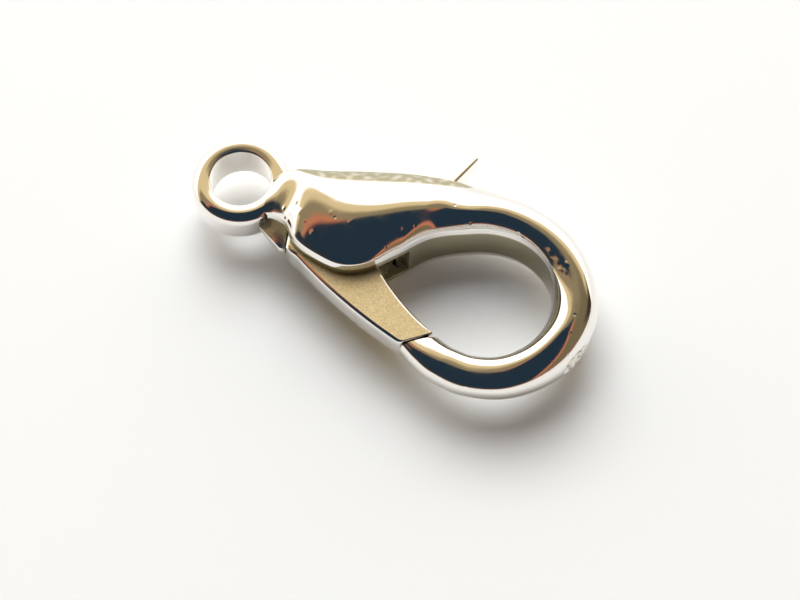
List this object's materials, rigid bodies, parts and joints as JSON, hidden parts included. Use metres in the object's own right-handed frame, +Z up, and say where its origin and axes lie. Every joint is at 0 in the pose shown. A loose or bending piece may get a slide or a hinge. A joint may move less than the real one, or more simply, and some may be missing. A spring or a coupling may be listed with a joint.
{
  "type": "lobster clasp",
  "caption": "Trigger lobster clasp for jewellery: a ring eye, domed cheeks and a round hook, closed by a sprung lever with a thumb tab.",
  "frame": {"origin": "middle of the outline, on the surface that the clasp lies on", "axes": "+X from the ring to the hook, +Y to the thumb tab, +Z up, along the ring's hole and the pivot"},
  "size_m": [0.012, 0.007, 0.0027],
  "materials": {
    "plated_body": "polished silver-tone plating on a zinc die casting",
    "plated_lever": "silver-tone plating, bright on the edges and frosted on the flat faces",
    "steel": "plain drawn steel"
  },
  "bodies": {
    "body": {"clasp_body": "plated_body", "pivot_pin": "steel", "coil_spring": "steel"},
    "lever": {"trigger_lever": "plated_lever"}
  },
  "joints": [
    {"name": "lever_hinge", "type": "hinge", "parent": "body", "child": "lever", "pos_m": [-0.00164, -0.00003, 0.00135], "axis": [0, 0, 1], "range_deg": [0, 25], "stiffness_Nm_per_rad": 0.01, "springref_deg": -17.19}
  ]
}
